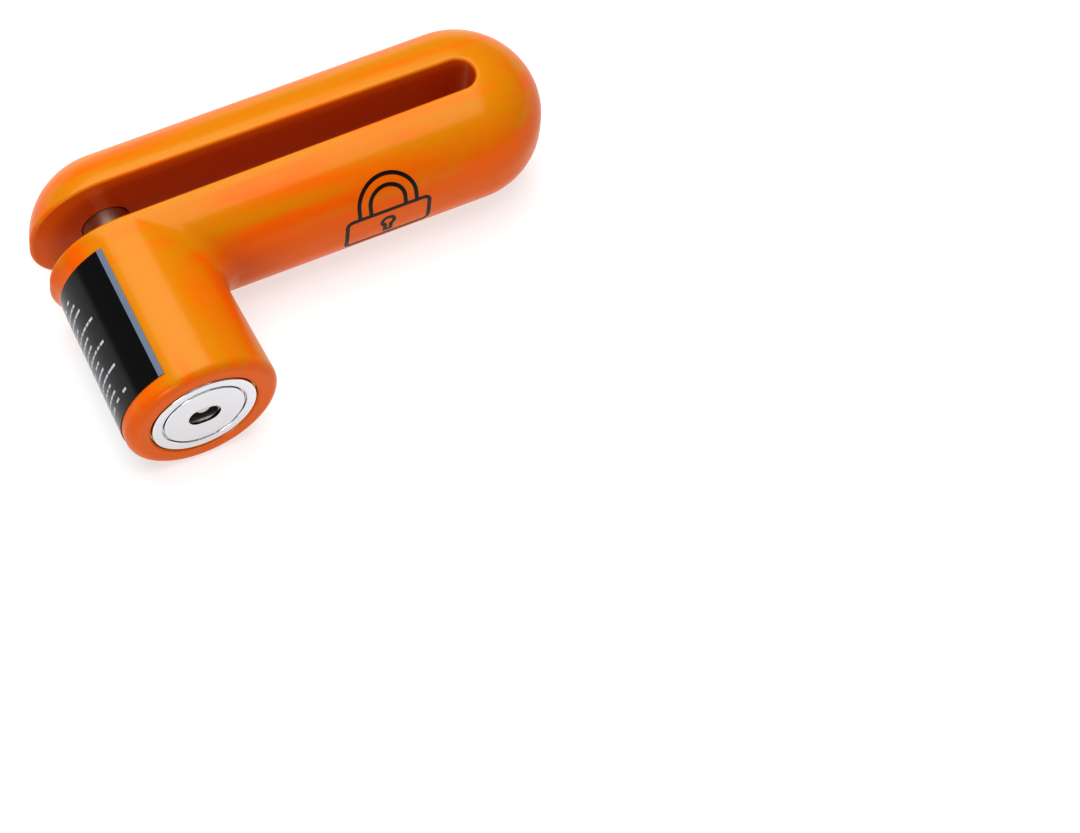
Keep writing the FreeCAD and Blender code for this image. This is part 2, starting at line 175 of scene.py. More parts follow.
class PaintSettings(bpy.types.PropertyGroup):
    """Gloss powder coat of the casting."""

    # The paint colour is the lit colour of the upper faces; the flank colour is painted shade on the
    # flanks, redder than the paint
    colour: colour_property("Paint", "Colour of the powder coat on upper faces", "#C67F07")
    flank_shade_colour: colour_property("Thin paint", "Colour where less powder settled, on the flanks", "#DA6702")
    # The slot colour is painted shade in the slot, redder than the paint
    slot_shade_colour: colour_property("Slot paint", "Colour where powder hardly reaches, in the slot", "#D06606")
    slot_half_width: length_property("Slot half width", "Half the slot's width at the pin", 4.72)
    slot_end: length_property("Slot end", "Centre of the slot's round end along the bar", 82.07)
    # Width of the painted streaks that stand in for bands of reflected light along the bar and stem
    streak_width: length_property("Run width", "Width of the drifts in the powder", 4.5)
    peel_size: length_property("Orange peel", "Size of the ripples in the coat", 1.8)
    peel_depth: length_property("Peel depth", "Height of the ripples in the coat", 0.003)


class LabelSettings(bpy.types.PropertyGroup):
    """Film label wrapped on the stem."""

    film: colour_property("Film", "Colour of the label's film", "#141516")
    strip: colour_property("Strip", "Colour of the bare strip along one edge", "#6E7788")
    print_ink: colour_property("Print", "Colour of the plain printed bars", "#B9BDC2")
    strip_width: length_property("Strip width", "Width of the bare strip", 1.4)
    stand: length_property("Thickness", "How far the film stands off the paint", 0.18)
    rows: IntProperty(name="Rows", description="Rows of printed bars", default=14, min=1)
    words: IntProperty(name="Bars", description="Printed bars in a row", default=13, min=1)
    bar_height: length_property("Bar height", "Height of a printed bar", 0.62)


class MarkSettings(bpy.types.PropertyGroup):
    """Padlock sign printed on the bar."""

    ink: colour_property("Ink", "Colour of the printed sign", "#17120F")
    centre: length_property("Place", "Where the sign's middle is along the bar", 57.0)
    size: length_property("Size", "Height of the sign", 19.0)
    line: length_property("Line", "Width of the sign's lines", 0.9)
    turn: angle_property("Turn", "Angle of the sign's middle above the bar's edge", 14.0)


class SpringSettings(bpy.types.PropertyGroup):
    """Return spring of the key cylinder."""

    wire_radius: length_property("Wire radius", "Radius of the spring's wire", 0.6)
    turns: FloatProperty(name="Turns", description="Number of turns", default=5.5, min=2.0)


class StageSettings(bpy.types.PropertyGroup):
    """Floor, lights and camera."""

    floor: colour_property("Floor", "Colour of the floor", "#9E9E9E")
    glow: FloatProperty(name="Floor glow", description="Light from under the floor", default=0.47)
    ambient: FloatProperty(name="Room light", description="Strength of the even light", default=0.2)
    key: FloatProperty(name="Overhead light", description="Power of the large softbox", default=21.0)
    fill: FloatProperty(name="Front light", description="Power of the small softbox", default=3.0)
    azimuth: angle_property("Azimuth", "Camera's angle round the lock", -33.0)
    elevation: angle_property("Elevation", "Camera's angle above the floor", 59.1)
    roll: angle_property("Roll", "Camera's turn about its own view", 8.0)
    distance: length_property("Distance", "From the camera to the point it aims at", 1000.0)
    aim_right: length_property("Aim right", "Aim point from the origin, across the view", 92.76)
    aim_up: length_property("Aim up", "Aim point from the origin, up the view", -38.55)
    view_width: length_property("View width", "Width seen at the aim point", 235.3)


class LockSettings(bpy.types.PropertyGroup):
    """Every size and colour of the lock's finish."""

    paint: PointerProperty(type=PaintSettings)
    label: PointerProperty(type=LabelSettings)
    mark: PointerProperty(type=MarkSettings)
    spring: PointerProperty(type=SpringSettings)
    stage: PointerProperty(type=StageSettings)


def add(tree, kind, inputs=None, **settings):
    """Adds a node. Inputs go by name or number, each a value or the socket that it links to."""
    node = tree.nodes.new(kind)
    for name, value in settings.items():
        setattr(node, name, value)
    for name, value in (inputs or {}).items():
        if isinstance(value, bpy.types.NodeSocket):
            tree.links.new(value, node.inputs[name])
        else:
            node.inputs[name].default_value = value
    return node


def start_material(name, colour, roughness, **inputs):
    """An empty material with one shader, and what a pattern on it starts from."""
    material = bpy.data.materials.new(name)
    material.use_nodes = True
    tree = material.node_tree
    tree.nodes.clear()
    shader = add(
        tree,
        "ShaderNodeBsdfPrincipled",
        {"Base Color": (*colour, 1.0), "Roughness": roughness},
    )
    for socket, value in inputs.items():
        shader.inputs[socket.replace("_", " ").title()].default_value = value
    add(tree, "ShaderNodeOutputMaterial", {"Surface": shader.outputs["BSDF"]})
    place = add(tree, "ShaderNodeTexCoord").outputs["Object"]
    return material, tree, shader, place


def per_metre(millimetres):
    """A texture's scale for features of a real size."""
    return 1.0 / (millimetres * MM)


def powder_coat(settings):
    """Powder coat, cured to a gloss over a steel casting: a clear skin with soft ripples. Its colour
    holds painted light and shade: golden on the upper faces, which face the overhead light, a redder
    painted shade on the flanks, broken by painted streaks of reflection along the bar and along the
    stem, and a redder painted shade in the narrow slot."""
    material, tree, shader, place = start_material(
        "gloss_powder_coat", settings.colour, 0.35, coat_weight=0.38, coat_roughness=0.2
    )
    shader.inputs["Specular IOR Level"].default_value = PAINT_SPECULAR
    # Painted streaks: noise drawn out along the bar and along the stem, standing in for bands of reflected
    # light
    part = add(tree, "ShaderNodeSeparateXYZ", {0: place})
    painted_streaks = []
    for stretch in ((DRAWN_OUT, 1.0, 1.0), (1.0, DRAWN_OUT, 1.0)):
        drawn_out = add(tree, "ShaderNodeVectorMath", {0: place, 1: stretch}, operation="MULTIPLY")
        painted_streak = add(
            tree,
            "ShaderNodeTexNoise",
            {"Vector": drawn_out.outputs[0], "Scale": 1.0 / settings.streak_width, "Detail": 1.0},
        )
        painted_streaks.append(painted_streak.outputs["Fac"])
    along_bar, along_stem = painted_streaks
    on_bar = add(
        tree,
        "ShaderNodeMapRange",
        {"Value": part.outputs["Y"], "From Min": STEM_TO_BAR[0], "From Max": STEM_TO_BAR[1]},
        interpolation_type="SMOOTHSTEP",
    )
    streak_blend = add(tree, "ShaderNodeMix", {0: on_bar.outputs["Result"], 2: along_stem, 3: along_bar})
    # Painted shade: upward faces get the lit colour, flanks and undersides the redder painted shade, and
    # the painted streaks shift the edge between them
    facing = add(tree, "ShaderNodeNewGeometry").outputs["Normal"]
    facing = add(tree, "ShaderNodeSeparateXYZ", {0: facing}).outputs["Z"]
    lit_share = add(
        tree,
        "ShaderNodeMath",
        {0: streak_blend.outputs[0], 1: REFLECTION_STREAK_WEIGHT, 2: facing},
        operation="MULTIPLY_ADD",
    )
    lit_share = add(
        tree,
        "ShaderNodeMapRange",
        {
            "Value": lit_share.outputs[0],
            "From Min": SHADE_TO_LIT[0],
            "From Max": SHADE_TO_LIT[1],
        },
        interpolation_type="SMOOTHSTEP",
    )
    flank_shade_tint = add(
        tree,
        "ShaderNodeMix",
        {
            0: lit_share.outputs["Result"],
            6: (*settings.flank_shade_colour, 1.0),
            7: (*settings.colour, 1.0),
        },
        data_type="RGBA",
    )
    # Painted shade in the slot: within the slot's tapering walls and round end the colour turns to the
    # redder slot colour
    past_end = add(
        tree, "ShaderNodeMath", {0: part.outputs["X"], 1: settings.slot_end}, operation="SUBTRACT"
    )
    past_end = add(tree, "ShaderNodeMath", {0: past_end.outputs[0], 1: 0.0}, operation="MAXIMUM")
    apart = add(tree, "ShaderNodeCombineXYZ", {0: past_end.outputs[0], 1: part.outputs["Y"]})
    apart = add(tree, "ShaderNodeVectorMath", {0: apart.outputs[0]}, operation="LENGTH")
    from_middle = add(
        tree,
        "ShaderNodeMath",
        {0: part.outputs["X"], 1: SLOT_TAPER, 2: apart.outputs["Value"]},
        operation="MULTIPLY_ADD",
    )
    slot_shade_mask = add(
        tree,
        "ShaderNodeMapRange",
        {
            "Value": from_middle.outputs[0],
            "From Min": settings.slot_half_width,
            "From Max": settings.slot_half_width + SLOT_FADE,
            "To Min": 1.0,
            "To Max": 0.0,
        },
    )
    coat = add(
        tree,
        "ShaderNodeMix",
        {0: slot_shade_mask.outputs["Result"], 6: flank_shade_tint.outputs[2], 7: (*settings.slot_shade_colour, 1.0)},
        data_type="RGBA",
    )
    tree.links.new(coat.outputs[2], shader.inputs["Base Color"])
    peel = add(
        tree,
        "ShaderNodeTexNoise",
        {"Vector": place, "Scale": 1.0 / settings.peel_size, "Detail": 1.0, "Roughness": 0.4},
    )
    bump = add(
        tree,
        "ShaderNodeBump",
        {"Height": peel.outputs["Fac"], "Distance": settings.peel_depth, "Strength": 1.0},
    )
    tree.links.new(bump.outputs["Normal"], shader.inputs["Coat Normal"])
    haze = add(tree, "ShaderNodeTexNoise", {"Vector": place, "Scale": per_metre(6.0), "Detail": 3.0})
    gloss = add(
        tree,
        "ShaderNodeMapRange",
        {"Value": haze.outputs["Fac"], "To Min": 0.30, "To Max": 0.42},
    )
    tree.links.new(gloss.outputs["Result"], shader.inputs["Roughness"])
    return material


def turned_metal(name, colour, roughness, mark, depth):
    """A metal turned or ground about the pin's axis: rings of fine marks, in millimetres, and a
    roughness that wanders. Real marks are finer, and these are as coarse as they need to show."""
    material, tree, shader, place = start_material(name, colour, roughness, metallic=1.0)
    across = add(tree, "ShaderNodeVectorMath", {0: place, 1: (1.0, 0.0, 1.0)}, operation="MULTIPLY")
    radius = add(tree, "ShaderNodeVectorMath", {0: across.outputs[0]}, operation="LENGTH")
    along = add(tree, "ShaderNodeSeparateXYZ", {0: place})
    lathe = add(
        tree, "ShaderNodeMath", {0: radius.outputs["Value"], 1: along.outputs["Y"]}, operation="ADD"
    )
    marks = add(
        tree,
        "ShaderNodeTexNoise",
        {"W": lathe.outputs[0], "Scale": per_metre(mark), "Detail": 2.0},
        noise_dimensions="1D",
    )
    bump = add(
        tree,
        "ShaderNodeBump",
        {"Height": marks.outputs["Fac"], "Distance": depth * MM, "Strength": 1.0},
    )
    tree.links.new(bump.outputs["Normal"], shader.inputs["Normal"])
    stain = add(tree, "ShaderNodeTexNoise", {"Vector": place, "Scale": per_metre(3.0), "Detail": 4.0})
    polish = add(
        tree,
        "ShaderNodeMapRange",
        {"Value": stain.outputs["Fac"], "To Min": roughness * 0.8, "To Max": roughness * 1.25},
    )
    tree.links.new(polish.outputs["Result"], shader.inputs["Roughness"])
    return material


def moulded_rubber():
    """Black nitrile rubber, moulded: near-black and dull, with a fine bloom on its skin."""
    material, tree, shader, place = start_material("nitrile_rubber", linear("#1B1B1C"), 0.55)
    grain = add(tree, "ShaderNodeTexNoise", {"Vector": place, "Scale": per_metre(0.4), "Detail": 3.0})
    skin = add(
        tree, "ShaderNodeMapRange", {"Value": grain.outputs["Fac"], "To Min": 0.45, "To Max": 0.7}
    )
    tree.links.new(skin.outputs["Result"], shader.inputs["Roughness"])
    return material


def label_film(name, colour, roughness):
    """Film or ink laid on the paint: smooth, with a faint waviness from what is beneath it."""
    material, tree, shader, place = start_material(name, colour, roughness)
    shader.inputs["Specular IOR Level"].default_value = FILM_SPECULAR
    glue = add(tree, "ShaderNodeTexNoise", {"Vector": place, "Scale": per_metre(4.0), "Detail": 1.0})
    bump = add(
        tree,
        "ShaderNodeBump",
        {"Height": glue.outputs["Fac"], "Distance": 0.006 * MM, "Strength": 1.0},
    )
    tree.links.new(bump.outputs["Normal"], shader.inputs["Normal"])
    return material


def set_finish(names, material):
    """Gives CAD nodes their finish."""
    for name in names:
        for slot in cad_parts[name].material_slots:
            slot.material = material


def mesh_object(name, mesh):
    """Links a new object at the origin."""
    made = bpy.data.objects.new(name, mesh)
    bpy.context.scene.collection.objects.link(made)
    return made


def build_mesh(name, points, faces, materials, face_materials=None):
    """A mesh object from points and faces, with its faces outward."""
    shape = bmesh.new()
    corners = [shape.verts.new(point) for point in points]
    for index, face in enumerate(faces):
        made = shape.faces.new([corners[i] for i in face])
        made.material_index = face_materials[index] if face_materials else 0
    bmesh.ops.recalc_face_normals(shape, faces=shape.faces)
    mesh = bpy.data.meshes.new(name)
    shape.to_mesh(mesh)
    shape.free()
    for material in materials:
        mesh.materials.append(material)
    return mesh_object(name, mesh)


class StemCone:
    """The stem's outside, found from the label's solid, which lies on it."""

    def __init__(self):
        low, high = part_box("stem_label")
        points = [vertex.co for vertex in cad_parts["stem_label"].data.vertices]
        self.front = low.y
        self.back = high.y
        near = [p for p in points if p.y < low.y + MM]
        far = [p for p in points if p.y > high.y - MM]
        self.front_radius = min(math.hypot(p.x, p.z) for p in near)
        self.back_radius = min(math.hypot(p.x, p.z) for p in far)
        angles = [math.atan2(-p.x, p.z) for p in points]
        self.first = min(angles)
        self.last = max(angles)

    def radius(self, y):
        """The stem's radius at a place along it."""
        share = (y - self.front) / (self.back - self.front)
        return self.front_radius + (self.back_radius - self.front_radius) * share

    def point(self, y, angle, height):
        """A point off the stem, with its angle from +Z towards -X."""
        reach = self.radius(y) + height
        return Vector((-reach * math.sin(angle), y, reach * math.cos(angle)))


def wrapped_sheet(name, cone, stand, strip_width, materials):
    """A thin closed sheet on the stem, whose first columns are the bare strip."""
    middle = cone.radius((cone.front + cone.back) / 2)
    strip = cone.first + strip_width / middle
    strip_steps, film_steps, rows = 3, 60, 24
    angles = [cone.first + (strip - cone.first) * i / strip_steps for i in range(strip_steps)]
    angles += [strip + (cone.last - strip) * i / film_steps for i in range(film_steps + 1)]
    stations = [cone.front + (cone.back - cone.front) * i / rows for i in range(rows + 1)]
    count = len(angles)
    points = [
        cone.point(y, angle, height)
        for height in (-LABEL_SUNK, stand)
        for y in stations
        for angle in angles
    ]
    layer = count * len(stations)
    faces, kinds = [], []
    for row in range(rows):
        for column in range(count - 1):
            base = row * count + column
            quad = (base, base + 1, base + count + 1, base + count)
            kind = 0 if column < strip_steps else 1
            faces += [quad, tuple(i + layer for i in reversed(quad))]
            kinds += [kind, kind]
    rim = list(range(count))
    rim += [row * count + count - 1 for row in range(1, rows + 1)]
    rim += [rows * count + column for column in range(count - 2, -1, -1)]
    rim += [row * count for row in range(rows - 1, 0, -1)]
    for first, second in zip(rim, rim[1:] + rim[:1]):
        faces.append((first, second, second + layer, first + layer))
        kinds.append(1)
    return build_mesh(name, points, faces, materials, kinds)


def plain_mesh(obj, name):
    """The evaluated result of an object's modifiers as a plain mesh object."""
    graph = bpy.context.evaluated_depsgraph_get()
    mesh = bpy.data.meshes.new_from_object(obj.evaluated_get(graph))
    mesh.name = name
    bpy.data.objects.remove(obj)
    return mesh_object(name, mesh)


def start_geometry(name, inputs):
    """An empty geometry tree with named inputs, and the node that gives them."""
    tree = bpy.data.node_groups.new(name, "GeometryNodeTree")
    tree.interface.new_socket("Geometry", in_out="OUTPUT", socket_type="NodeSocketGeometry")
    for label, kind in inputs.items():
        tree.interface.new_socket(label, in_out="INPUT", socket_type=kind)
    return tree, add(tree, "NodeGroupInput").outputs


def run_geometry(name, tree, values):
    """Runs a geometry tree on an empty mesh and returns the plain mesh object."""
    carrier = mesh_object(name + "_carrier", bpy.data.meshes.new(name + "_carrier"))
    modifier = carrier.modifiers.new(name, "NODES")
    modifier.node_group = tree
    for item in tree.interface.items_tree:
        if item.in_out == "INPUT":
            modifier[item.identifier] = values[item.name]
    return plain_mesh(carrier, name)


def finish_geometry(tree, geometry, material_socket):
    """Ends a geometry tree: instances made real, and their material."""
    real = add(tree, "GeometryNodeRealizeInstances", {"Geometry": geometry})
    painted = add(
        tree,
        "GeometryNodeSetMaterial",
        {"Geometry": real.outputs[0], "Material": material_socket},
    )
    add(tree, "NodeGroupOutput", {"Geometry": painted.outputs[0]})


def print_tree():
    """Rows of short bars, laid flat and then wrapped on a cone about Y. The bars spell nothing."""
    sizes = ("Row Pitch", "Bar Pitch", "Bar Height", "Ink", "First Y", "First Arc", "Radius", "Slope")
    inputs = {name: "NodeSocketFloat" for name in sizes}
    inputs.update({"Rows": "NodeSocketInt", "Bars": "NodeSocketInt", "Material": "NodeSocketMaterial"})
    tree, given = start_geometry("printed_bars", inputs)
    total = add(tree, "ShaderNodeMath", {0: given["Rows"], 1: given["Bars"]}, operation="MULTIPLY")
    index = add(tree, "GeometryNodeInputIndex").outputs[0]
    row = add(tree, "ShaderNodeMath", {0: index, 1: given["Bars"]}, operation="DIVIDE")
    row = add(tree, "ShaderNodeMath", {0: row.outputs[0]}, operation="FLOOR")
    column = add(tree, "ShaderNodeMath", {0: index, 1: given["Bars"]}, operation="MODULO")
    shift = add(
        tree, "FunctionNodeRandomValue", {2: -BAR_SHIFT, 3: BAR_SHIFT, "Seed": 4}, data_type="FLOAT"
    )
    indent = add(
        tree,
        "FunctionNodeRandomValue",
        {2: ROW_INDENT[0], 3: ROW_INDENT[1], "ID": row.outputs[0], "Seed": 3},
        data_type="FLOAT",
    )
    below_heading = add(
        tree, "ShaderNodeMath", {0: row.outputs[0], 1: ROWS_IN_BLOCK}, operation="MODULO"
    )
    below_heading = add(
        tree, "ShaderNodeMath", {0: below_heading.outputs[0], 1: 0.5}, operation="GREATER_THAN"
    )
    indent = add(
        tree,
        "ShaderNodeMath",
        {0: indent.outputs[1], 1: below_heading.outputs[0]},
        operation="MULTIPLY",
    )
    shift = add(tree, "ShaderNodeMath", {0: shift.outputs[1], 1: indent.outputs[0]}, operation="ADD")
    slot = add(tree, "ShaderNodeMath", {0: column.outputs[0], 1: shift.outputs[0]}, operation="ADD")
    arc = add(
        tree,
        "ShaderNodeMath",
        {0: slot.outputs[0], 1: given["Bar Pitch"], 2: given["First Arc"]},
        operation="MULTIPLY_ADD",
    )
    station = add(
        tree,
        "ShaderNodeMath",
        {0: row.outputs[0], 1: given["Row Pitch"], 2: given["First Y"]},
        operation="MULTIPLY_ADD",
    )
    flat = add(tree, "ShaderNodeCombineXYZ", {0: arc.outputs[0], 1: station.outputs[0]})
    points = add(
        tree,
        "GeometryNodePoints",
        {"Count": total.outputs[0], "Position": flat.outputs[0], "Radius": MM},
    )
    bar_size = add(
        tree,
        "ShaderNodeCombineXYZ",
        {0: given["Bar Pitch"], 1: given["Bar Height"], 2: given["Ink"]},
    )
    bar = add(tree, "GeometryNodeMeshCube", {"Size": bar_size.outputs[0], "Vertices X": 5})
    share = add(
        tree,
        "FunctionNodeRandomValue",
        {2: BAR_SHARE[0], 3: BAR_SHARE[1], "Seed": 11},
        data_type="FLOAT",
    )
    scale = add(tree, "ShaderNodeCombineXYZ", {0: share.outputs[1], 1: 1.0, 2: 1.0})
    kept = add(
        tree, "FunctionNodeRandomValue", {"Probability": BAR_CHANCE, "Seed": 7}, data_type="BOOLEAN"
    )
    bars = add(
        tree,
        "GeometryNodeInstanceOnPoints",
        {
            "Points": points.outputs[0],
            "Instance": bar.outputs[0],
            "Scale": scale.outputs[0],
            "Selection": kept.outputs[3],
        },
    )
    laid = add(tree, "GeometryNodeRealizeInstances", {"Geometry": bars.outputs[0]})
    position = add(tree, "GeometryNodeInputPosition").outputs[0]
    part = add(tree, "ShaderNodeSeparateXYZ", {0: position})
    surface = add(
        tree,
        "ShaderNodeMath",
        {0: part.outputs[1], 1: given["Slope"], 2: given["Radius"]},
        operation="MULTIPLY_ADD",
    )
    angle = add(tree, "ShaderNodeMath", {0: part.outputs[0], 1: given["Radius"]}, operation="DIVIDE")
    reach = add(tree, "ShaderNodeMath", {0: surface.outputs[0], 1: part.outputs[2]}, operation="ADD")
    sine = add(tree, "ShaderNodeMath", {0: angle.outputs[0]}, operation="SINE")
    cosine = add(tree, "ShaderNodeMath", {0: angle.outputs[0]}, operation="COSINE")
    minus_reach = add(tree, "ShaderNodeMath", {0: reach.outputs[0], 1: -1.0}, operation="MULTIPLY")
    x = add(tree, "ShaderNodeMath", {0: minus_reach.outputs[0], 1: sine.outputs[0]}, operation="MULTIPLY")
    z = add(tree, "ShaderNodeMath", {0: reach.outputs[0], 1: cosine.outputs[0]}, operation="MULTIPLY")
    wrapped = add(tree, "ShaderNodeCombineXYZ", {0: x.outputs[0], 1: part.outputs[1], 2: z.outputs[0]})
    placed = add(
        tree,
        "GeometryNodeSetPosition",
        {"Geometry": laid.outputs[0], "Position": wrapped.outputs[0]},
    )
    outward = add(tree, "GeometryNodeFlipFaces", {"Mesh": placed.outputs[0]})
    finish_geometry(tree, outward.outputs[0], given["Material"])
    return tree


def spring_tree():
    """A round wire wound evenly about Y."""
    sizes = ("Turns", "Coil Radius", "Wire Radius", "Height", "Start")
    inputs = {name: "NodeSocketFloat" for name in sizes}
    inputs["Material"] = "NodeSocketMaterial"
    tree, given = start_geometry("wound_wire", inputs)
    line = add(
        tree, "GeometryNodeMeshLine", {"Count": SPRING_POINTS}, mode="OFFSET", count_mode="TOTAL"
    )
    path = add(tree, "GeometryNodeMeshToCurve", {"Mesh": line.outputs[0]})
    share = add(tree, "GeometryNodeSplineParameter").outputs["Factor"]
    turned = add(tree, "ShaderNodeMath", {0: share, 1: given["Turns"]}, operation="MULTIPLY")
    angle = add(tree, "ShaderNodeMath", {0: turned.outputs[0], 1: math.tau}, operation="MULTIPLY")
    sine = add(tree, "ShaderNodeMath", {0: angle.outputs[0]}, operation="SINE")
    cosine = add(tree, "ShaderNodeMath", {0: angle.outputs[0]}, operation="COSINE")
    x = add(tree, "ShaderNodeMath", {0: cosine.outputs[0], 1: given["Coil Radius"]}, operation="MULTIPLY")
    z = add(tree, "ShaderNodeMath", {0: sine.outputs[0], 1: given["Coil Radius"]}, operation="MULTIPLY")
    y = add(
        tree,
        "ShaderNodeMath",
        {0: share, 1: given["Height"], 2: given["Start"]},
        operation="MULTIPLY_ADD",
    )
    place = add(tree, "ShaderNodeCombineXYZ", {0: x.outputs[0], 1: y.outputs[0], 2: z.outputs[0]})
    coil = add(
        tree,
        "GeometryNodeSetPosition",
        {"Geometry": path.outputs[0], "Position": place.outputs[0]},
    )
    circle = add(
        tree,
        "GeometryNodeCurvePrimitiveCircle",
        {"Resolution": WIRE_SIDES, "Radius": given["Wire Radius"]},
    )
    wire = add(
        tree,
        "GeometryNodeCurveToMesh",
        {"Curve": coil.outputs[0], "Profile Curve": circle.outputs[0], "Fill Caps": True},
    )
    finish_geometry(tree, wire.outputs[0], given["Material"])
    return tree


def ribbon(points, width, closed):
    """Left and right edges of a flat line of even width along points."""
    count = len(points)
    sides = []
    for index, point in enumerate(points):
        before = points[index - 1] if closed or index else point
        after = points[(index + 1) % count] if closed or index < count - 1 else point
        into = (point - before).normalized() if (point - before).length else None
        out = (after - point).normalized() if (after - point).length else None
        into, out = into or out, out or into
        tangent = (into + out).normalized()
        normal = Vector((-tangent.y, tangent.x))
        mitre = max(LEAST_MITRE, normal.dot(Vector((-into.y, into.x))))
        sides.append((point + normal * width / 2 / mitre, point - normal * width / 2 / mitre))
    return sides


def arc(centre, radius, first, last, steps):
    """Points on an arc, with its angles in degrees."""
    angles = [math.radians(first + (last - first) * i / steps) for i in range(steps + 1)]
    return [centre + Vector((math.cos(a), math.sin(a))) * radius for a in angles]


def finer(points, closed, step):
    """The same line with points no further apart than a step."""
    made = []
    ends = points[1:] + points[:1] if closed else points[1:]
    for first, second in zip(points, ends):
        pieces = max(1, math.ceil((second - first).length / step))
        made += [first.lerp(second, i / pieces) for i in range(pieces)]
    return made if closed else made + points[-1:]


def padlock_lines(size):
    """A padlock's lines about its middle, upright along the second axis, each with whether it
    closes: case, two lines of the shackle and keyhole. Every part is a share of the size."""
    wide = 0.52 * size
    low = -0.5 * size
    tall = 0.5 * size
    corner = 0.07 * size
    shackle_reaches = (0.36 * size, 0.22 * size)
    eye_radius = 0.075 * size
    eye_height = low + 0.58 * tall
    slot_half_width = 0.035 * size
    slot_bottom = low + 0.22 * tall
    shoulder = low + tall
    case = []
    for x, y, start in (
        (wide - corner, shoulder - corner, 0),
        (-wide + corner, shoulder - corner, 90),
        (-wide + corner, low + corner, 180),
        (wide - corner, low + corner, 270),
    ):
        case += arc(Vector((x, y)), corner, start, start + 90, 6)
    lines = [(case, True)]
    bend = 0.5 * size - shackle_reaches[0]
    for reach in shackle_reaches:
        shackle = [Vector((reach, shoulder))] + arc(Vector((0, bend)), reach, 0, 180, 24)
        lines.append((shackle + [Vector((-reach, shoulder))], False))
    keyhole = arc(Vector((0, eye_height)), eye_radius, -60, 240, 22)
    keyhole += [Vector((-slot_half_width, slot_bottom)), Vector((slot_half_width, slot_bottom))]
    lines.append((keyhole, True))
    return lines


def on_flank(side, along, up, height):
    """A point on the bar's flank at a side, or so high off it: its place along the bar, and the
    distance up the surface from the flank's middle."""
    flat = BAR_HALF_HEIGHT - BAR_EDGE
    bend = math.copysign(max(0.0, abs(up) - flat) / BAR_EDGE, up)
    reach = BAR_EDGE + height
    y = side + BAR_EDGE - reach * math.cos(bend)
    z = math.copysign(min(abs(up), flat), up) + reach * math.sin(bend)
    return (along, y, z)


def printed_line(sides, closed, first):
    """The faces of one printed line, whose points are four for each place along it."""
    count = len(sides)
    faces = []
    for index in range(count if closed else count - 1):
        here = first + index * 4
        there = first + (index + 1) % count * 4
        for corner in range(4):
            following = (corner + 1) % 4
            faces.append((here + corner, here + following, there + following, there + corner))
    if not closed:
        last = first + (count - 1) * 4
        faces.append((first + 3, first + 2, first + 1, first))
        faces.append((last, last + 1, last + 2, last + 3))
    return faces


def add_softbox(name, place, size, watts, away):
    """A soft light that shines against a direction."""
    light = bpy.data.lights.new(name, "AREA")
    light.shape = "RECTANGLE"
    light.size, light.size_y = size
    light.energy = watts
    lamp = bpy.data.objects.new(name, light)
    lamp.location = place
    lamp.rotation_euler = Vector(away).to_track_quat("Z", "Y").to_euler()
    bpy.context.scene.collection.objects.link(lamp)


class DISCLOCK_OT_paint_casting(bpy.types.Operator):
    """Coat the casting in gloss paint."""

    bl_idname = "disclock.paint_casting"
    bl_label = "Paint Casting"

    def execute(self, context):
        set_finish(("lock_casting",), powder_coat(context.scene.disc_lock.paint))
        return {"FINISHED"}


class DISCLOCK_OT_finish_metals(bpy.types.Operator):
    """Plate, grind and turn the metal parts."""

    bl_idname = "disclock.finish_metals"
    bl_label = "Finish Metals"

    def execute(self, context):
        discs = [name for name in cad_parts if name.startswith("lock_disc")]
        spacers = [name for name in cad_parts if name.startswith("disc_spacer")]
        # Decorative chrome on polished brass: almost a mirror, slightly blue
        chrome = turned_metal("bright_chrome_plate", linear("#DEDEE1"), 0.1, 0.3, 0.00015)
        # Nickel on case-hardened steel, unpolished: a soft pale sheen
        satin = turned_metal("satin_hardened_plate", linear("#C9C6C2"), 0.42, 0.2, 0.0006)
        # Hardened steel, ground and oiled: warm grey, with a long streak of light
        hardened = turned_metal("ground_hardened_steel", linear("#BDB8B2"), 0.34, 0.2, 0.0006)
        # Free-cutting brass, turned: yellow, with rings from the tool
        brass = turned_metal("turned_brass", linear("#CDA35C"), 0.25, 0.3, 0.001)
        # Half-hard brass sheet, stamped: paler, and duller from the press
        stamped = turned_metal("stamped_brass", linear("#D0A862"), 0.32, 0.6, 0.0008)
        set_finish(CHROMED, chrome)
        set_finish(HARDENED + MECHANISM, hardened)
        set_finish(["drill_guard"] + spacers, satin)
        set_finish(("cylinder_housing",), brass)
        set_finish(discs, stamped)
        set_finish(("bore_seal",), moulded_rubber())
        return {"FINISHED"}


